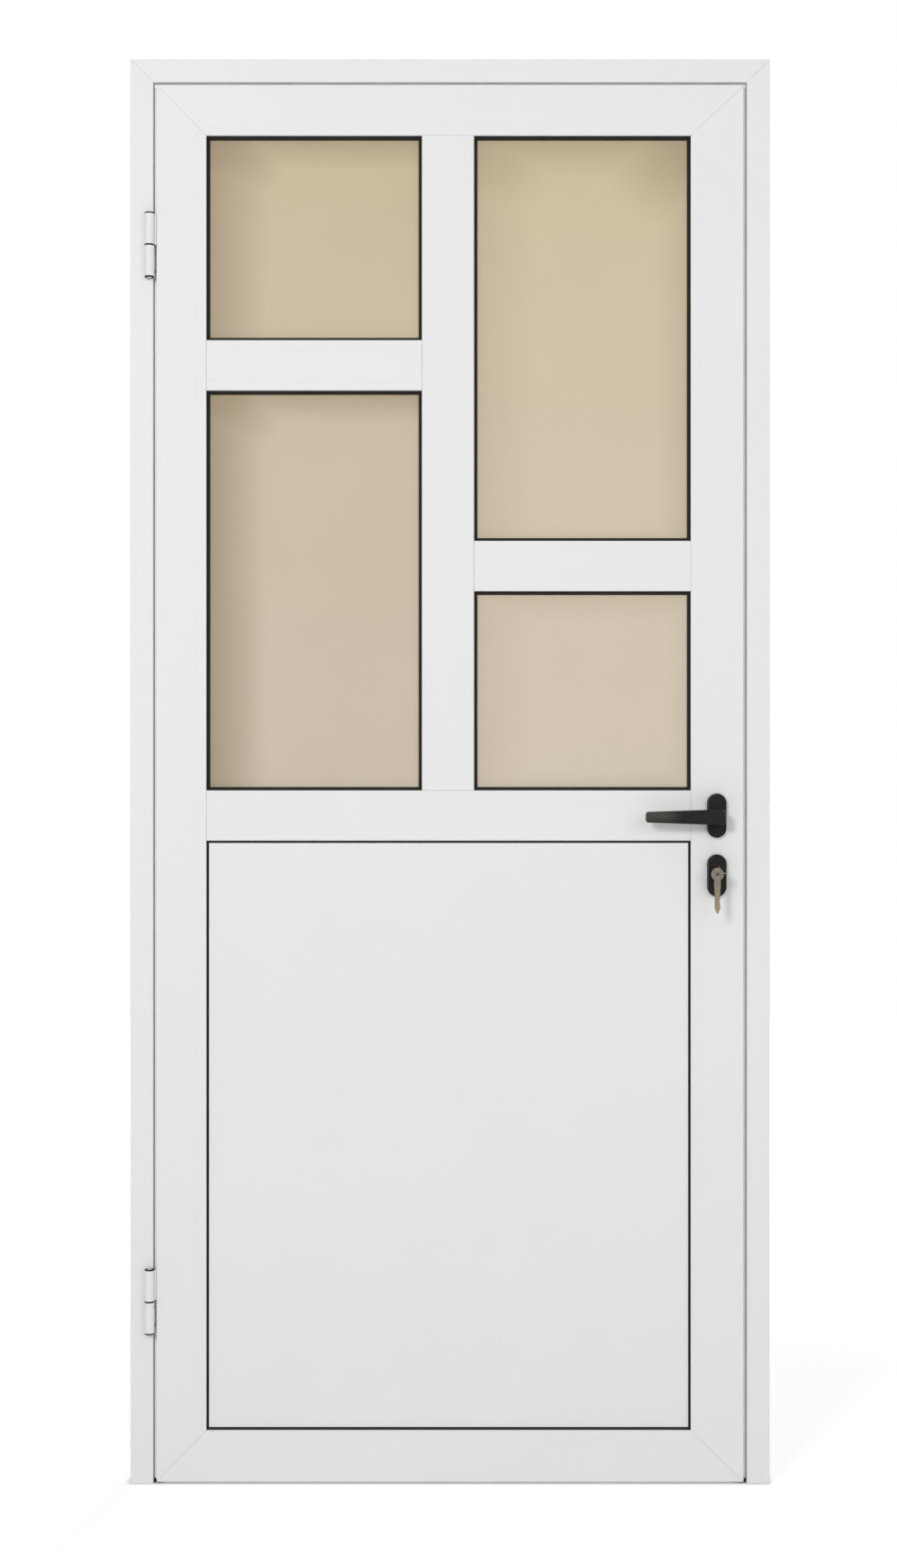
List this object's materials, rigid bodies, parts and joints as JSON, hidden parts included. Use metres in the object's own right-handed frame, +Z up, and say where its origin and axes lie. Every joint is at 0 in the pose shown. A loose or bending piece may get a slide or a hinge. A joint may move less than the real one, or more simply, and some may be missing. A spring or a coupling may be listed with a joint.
{
  "type": "glazed hinged door",
  "caption": "Hinged aluminium door in a three-sided frame: satin glass panes above a flat lower panel, barrel hinges, lever handle and a keyed lock.",
  "frame": {"origin": "on the outer side face of the hinge jamb, at mid depth of the frame, at floor level", "axes": "+X from the hinge jamb to the lock jamb, +Y from the front (hinge barrel side) to the back, +Z up"},
  "size_m": [0.943, 0.1369, 2.1],
  "materials": {
    "white_aluminium": "satin",
    "white_panel": "satin",
    "satin_glass": "satin",
    "black_rubber": "matte",
    "grey_rubber": "matte",
    "black_coated_aluminium": "satin",
    "nickel_brass": "satin",
    "steel": "satin"
  },
  "bodies": {
    "frame": {"hinge_jamb": "white_aluminium", "lock_jamb": "white_aluminium", "frame_head": "white_aluminium", "frame_seal": "grey_rubber", "strike_plate": "steel", "upper_hinge_frame_knuckle": "white_aluminium", "lower_hinge_frame_knuckle": "white_aluminium", "hinge_washers": "black_rubber", "seal_plugs": "black_rubber"},
    "leaf": {"back_escutcheon": "black_coated_aluminium", "back_rosette": "black_coated_aluminium", "bottom_rail": "white_aluminium", "front_escutcheon": "black_coated_aluminium", "front_rosette": "black_coated_aluminium", "hinge_stile": "white_aluminium", "hinge_top_rings": "black_rubber", "left_transom": "white_aluminium", "lock_bolts": "steel", "lock_cylinder": "nickel_brass", "lock_faceplate": "steel", "lock_stile": "white_aluminium", "lower_hinge_leaf_knuckle": "white_aluminium", "lower_left_beads": "white_aluminium", "lower_left_gasket": "black_rubber", "lower_left_pane": "satin_glass", "lower_panel": "white_panel", "lower_right_beads": "white_aluminium", "lower_right_gasket": "black_rubber", "lower_right_pane": "satin_glass", "mid_rail": "white_aluminium", "mullion": "white_aluminium", "panel_beads": "white_aluminium", "panel_gasket": "black_rubber", "right_transom": "white_aluminium", "top_rail": "white_aluminium", "upper_hinge_leaf_knuckle": "white_aluminium", "upper_left_beads": "white_aluminium", "upper_left_gasket": "black_rubber", "upper_left_pane": "satin_glass", "upper_right_beads": "white_aluminium", "upper_right_gasket": "black_rubber", "upper_right_pane": "satin_glass"},
    "handle": {"front_lever": "black_coated_aluminium", "back_lever": "black_coated_aluminium", "spindle": "steel"},
    "key": {"key_plug": "nickel_brass", "lock_key": "nickel_brass", "key_ring": "steel"},
    "spare_key": {"spare_key": "nickel_brass"}
  },
  "joints": [
    {"name": "door_swing", "type": "hinge", "parent": "frame", "child": "leaf", "pos_m": [0.029, -0.033, 1.05], "axis": [0, 0, -1], "range_deg": [0, 165]},
    {"name": "lever_turn", "type": "hinge", "parent": "leaf", "child": "handle", "pos_m": [0.8645, -0.025, 0.985], "axis": [0, -1, 0], "range_deg": [0, 40], "stiffness_Nm_per_rad": 1.2, "springref_deg": -28.65},
    {"name": "key_turn", "type": "hinge", "parent": "leaf", "child": "key", "pos_m": [0.8645, -0.037, 0.9], "axis": [0, -1, 0], "continuous": true},
    {"name": "spare_key_swing", "type": "hinge", "parent": "key", "child": "spare_key", "pos_m": [0.8609, -0.0707, 0.9], "axis": [0, -1, 0], "range_deg": [-225, 60]}
  ]
}
